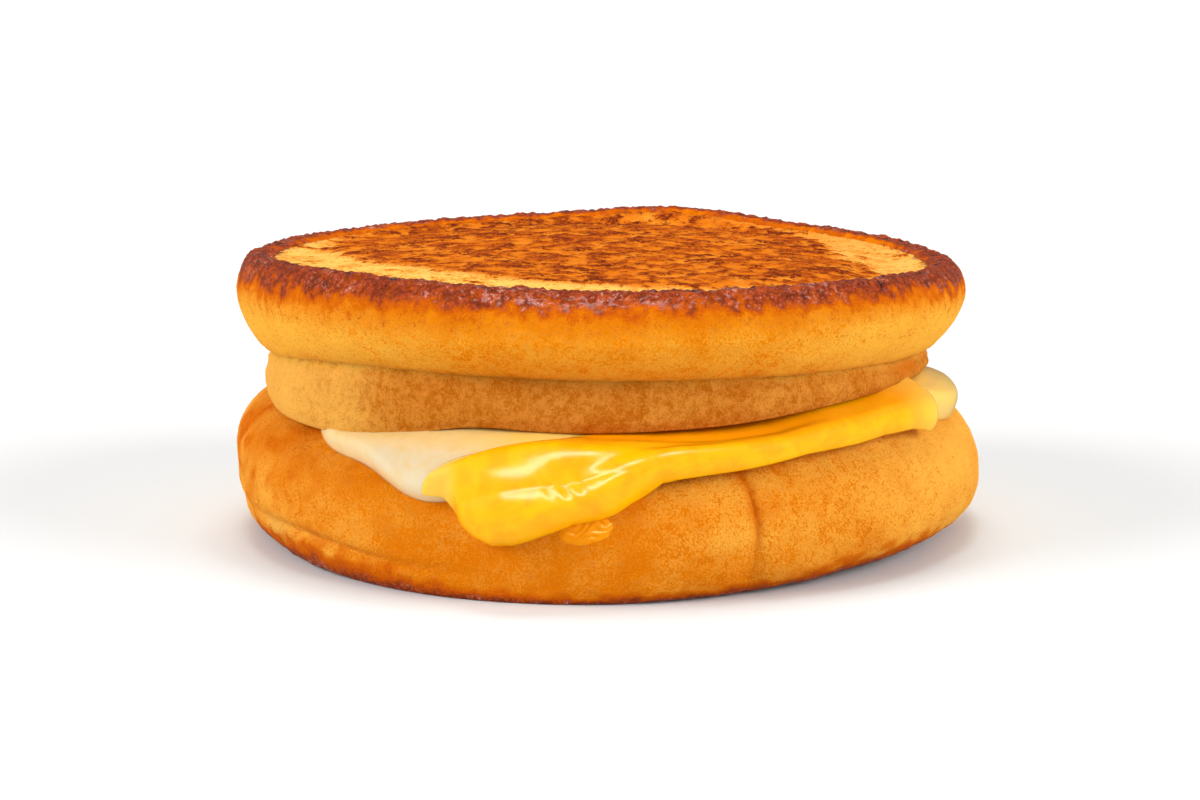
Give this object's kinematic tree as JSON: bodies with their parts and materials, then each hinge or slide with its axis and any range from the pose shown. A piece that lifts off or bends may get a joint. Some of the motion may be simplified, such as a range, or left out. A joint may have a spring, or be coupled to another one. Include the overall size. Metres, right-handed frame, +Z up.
{
  "type": "grilled cheese sandwich",
  "caption": "Round grilled cheese sandwich: a bun turned inside out, its cut face toasted dark, with melted yellow and white slices hanging over the lower half.",
  "frame": {"origin": "middle of the flat foot of the lower bun, on the surface that the sandwich rests on", "axes": "+Z up through both halves of the bun, -Y towards the side where the yellow slice drips, +X towards the right end of the yellow slice"},
  "size_m": [0.1054, 0.1082, 0.041],
  "materials": {
    "toasted_top_bread": "matte",
    "yellow_melted_cheese": "gloss",
    "white_melted_cheese": "satin",
    "toasted_bottom_bread": "matte"
  },
  "bodies": {
    "root": {"top_bun": "toasted_top_bread", "yellow_cheese": "yellow_melted_cheese", "white_cheese": "white_melted_cheese", "bottom_bun": "toasted_bottom_bread"}
  },
  "joints": []
}
